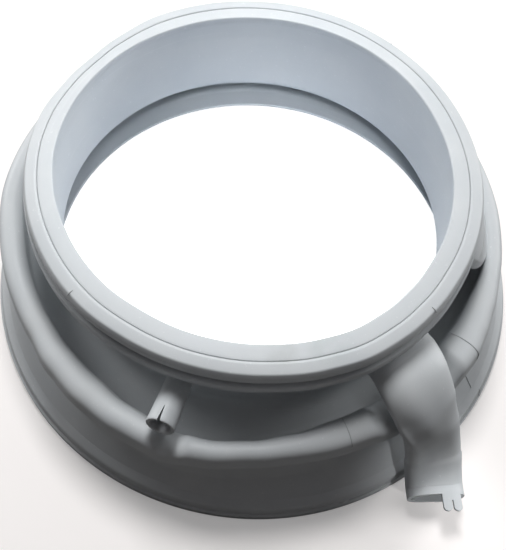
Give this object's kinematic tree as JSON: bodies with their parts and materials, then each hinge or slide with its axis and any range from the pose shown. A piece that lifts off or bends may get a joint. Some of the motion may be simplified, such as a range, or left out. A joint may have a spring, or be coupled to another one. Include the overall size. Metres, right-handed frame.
{
  "type": "washing machine door seal",
  "caption": "Moulded rubber bellows that seals the gap between a washing machine's door opening and its tub, with a small inlet tube and a flattened side duct.",
  "frame": {"origin": "on the floor under the rear lip's axis, which is the middle of the underside of the box round the part", "axes": "+Z from the rear lip up to the front lip along the seal's axis; -Y towards the side that carries the small inlet tube; +X towards the side of the flattened duct"},
  "size_m": [0.4109, 0.411, 0.133],
  "materials": {
    "grey_rubber": "satin, light grey moulded rubber"
  },
  "bodies": {
    "root": {"door_seal": "grey_rubber"}
  },
  "joints": []
}
